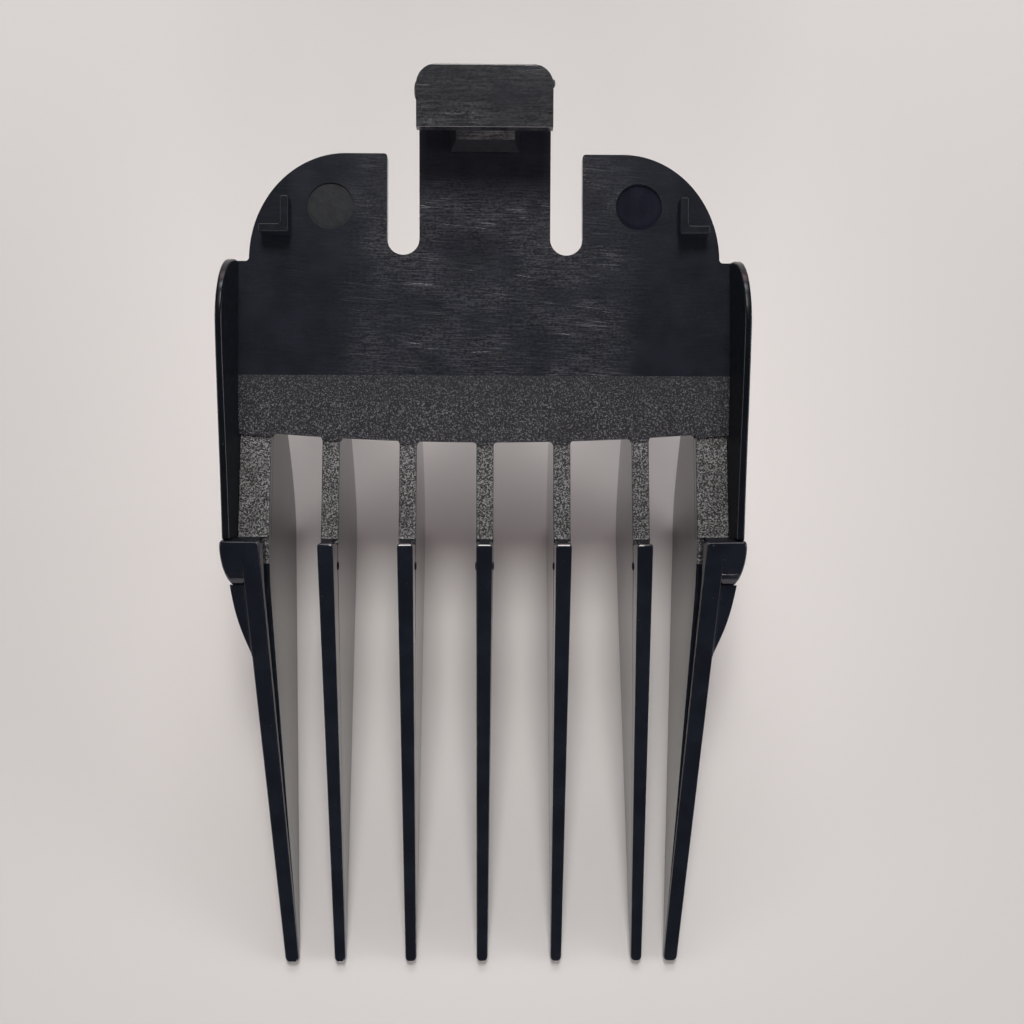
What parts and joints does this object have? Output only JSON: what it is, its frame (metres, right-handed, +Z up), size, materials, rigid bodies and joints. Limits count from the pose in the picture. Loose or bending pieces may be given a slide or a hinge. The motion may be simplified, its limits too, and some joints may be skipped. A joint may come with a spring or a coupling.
{
  "type": "clipper guard comb",
  "caption": "Guard comb for a hair clipper: flat blade seat between two cheeks, deep tapered teeth behind a blade stop, and a sprung hook for the blade's rear edge.",
  "frame": {"origin": "on the table under the comb as it stands on its teeth: the middle of its box in X and Y, at its lowest point", "axes": "+Z up from the table, +Y from the tooth tips towards the spring hook, +X to the right when seen from above with the hook far away; the blade seat tips 10.56 degrees, rising towards +Y"},
  "size_m": [0.0492, 0.0842, 0.0288],
  "materials": {
    "satin_black": "smooth moulded black polypropylene with fine handling scratches",
    "grained_black": "spark-eroded fine grain, black polypropylene",
    "rib_black": "smooth moulded black polypropylene with a faint parting line",
    "brushed_black": "smooth black polypropylene, brushed across by wear"
  },
  "bodies": {
    "comb": {"base_plate": "satin_black", "blend_band": "grained_black", "cheek_left": "satin_black", "cheek_right": "satin_black", "finger_boss_left": "rib_black", "finger_boss_right": "rib_black", "gusset_left": "rib_black", "gusset_right": "rib_black", "locating_rib_left": "satin_black", "locating_rib_right": "satin_black", "tooth_1": "rib_black", "tooth_2": "rib_black", "tooth_3": "rib_black", "tooth_4": "rib_black", "tooth_5": "rib_black", "tooth_6": "rib_black", "tooth_7": "rib_black"},
    "latch": {"spring_tongue": "brushed_black", "latch_riser": "brushed_black", "latch_lip": "brushed_black", "latch_pad": "brushed_black"}
  },
  "joints": [
    {"name": "tongue_flex", "type": "hinge", "parent": "comb", "child": "latch", "pos_m": [0, 0.02606, 0.02031], "axis": [-1, 0, 0], "range_deg": [-2, 10], "stiffness_Nm_per_rad": 0.8}
  ]
}
